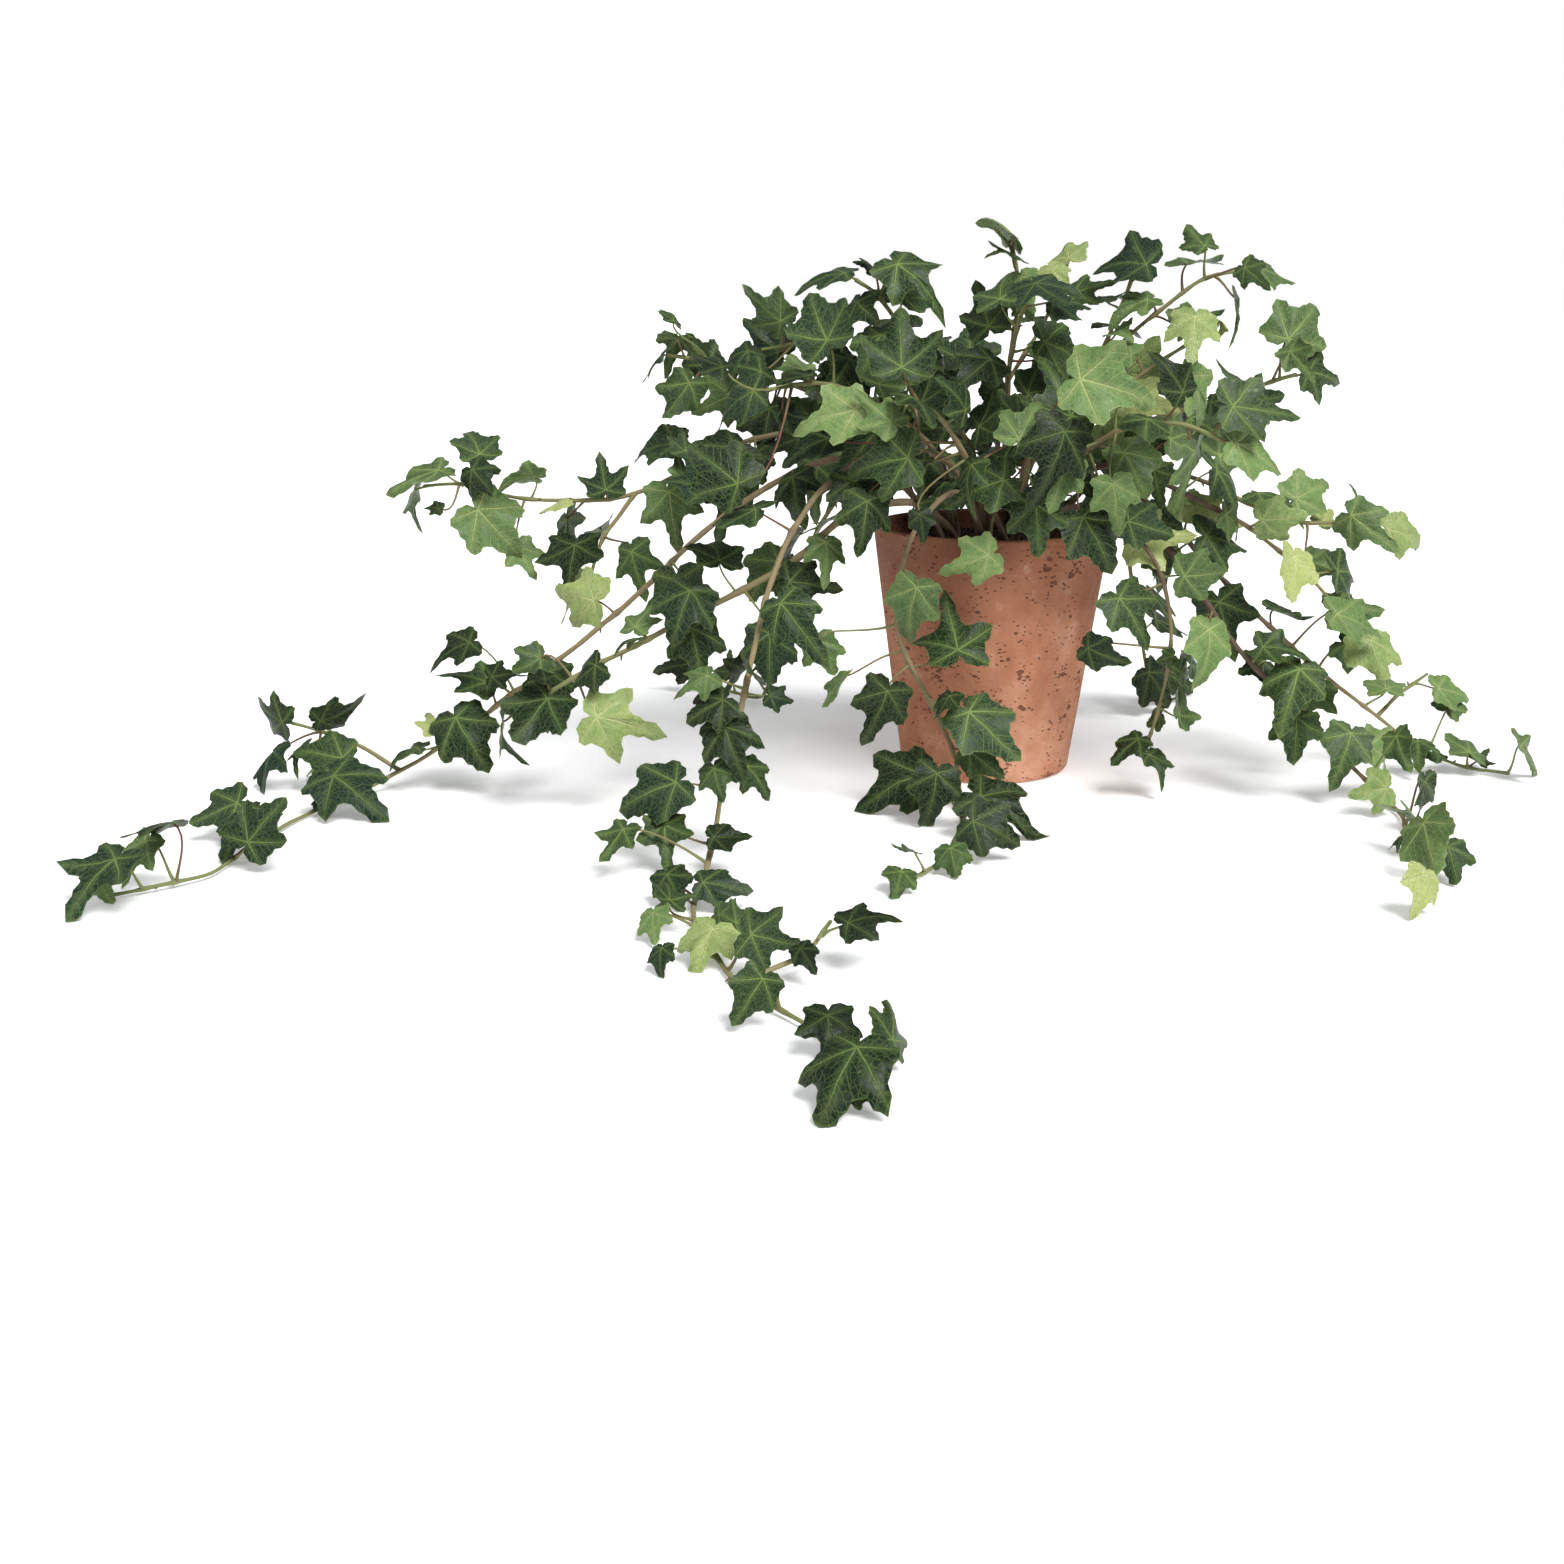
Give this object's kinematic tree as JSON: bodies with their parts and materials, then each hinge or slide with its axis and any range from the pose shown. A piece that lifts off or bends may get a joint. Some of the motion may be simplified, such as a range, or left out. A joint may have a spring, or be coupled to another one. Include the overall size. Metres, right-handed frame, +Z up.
{
  "type": "potted ivy",
  "caption": "Trailing ivy growing in a plain tapered terracotta pot; long leafy vines arch over the rim and lie along the surface.",
  "frame": {"origin": "middle of the pot's flat underside, on the surface that it stands on", "axes": "+Z up, -Y towards the front of the plant, +X to the right seen from the front"},
  "size_m": [0.8685, 0.7499, 0.352],
  "materials": {
    "terracotta": "matte",
    "potting_soil": "matte",
    "ivy_leaf": "satin",
    "ivy_stem": "matte"
  },
  "bodies": {
    "root": {"pot": "terracotta", "potting_soil": "potting_soil", "left_long_vine": "ivy_leaf", "left_thick_vine": "ivy_leaf", "left_upper_vine": "ivy_leaf", "centre_left_vine": "ivy_leaf", "front_vine": "ivy_leaf", "right_low_vine": "ivy_leaf", "right_long_vine": "ivy_leaf", "right_hanging_vine": "ivy_leaf", "right_drooping_vine": "ivy_leaf", "right_middle_vine": "ivy_leaf", "right_upper_sprig": "ivy_leaf", "top_centre_sprig": "ivy_leaf", "top_right_sprig": "ivy_leaf", "top_left_sprig": "ivy_leaf", "left_sprig": "ivy_leaf", "left_back_sprig": "ivy_leaf", "left_crown_sprig": "ivy_leaf", "front_centre_sprig": "ivy_leaf", "front_left_sprig": "ivy_leaf", "front_right_sprig": "ivy_leaf", "bright_sprig": "ivy_leaf", "crown_sprig": "ivy_leaf", "back_left_vine": "ivy_leaf", "back_right_vine": "ivy_leaf", "back_hanging_vine": "ivy_leaf", "back_centre_sprig": "ivy_leaf", "back_right_sprig": "ivy_leaf", "back_left_sprig": "ivy_leaf"}
  },
  "joints": []
}
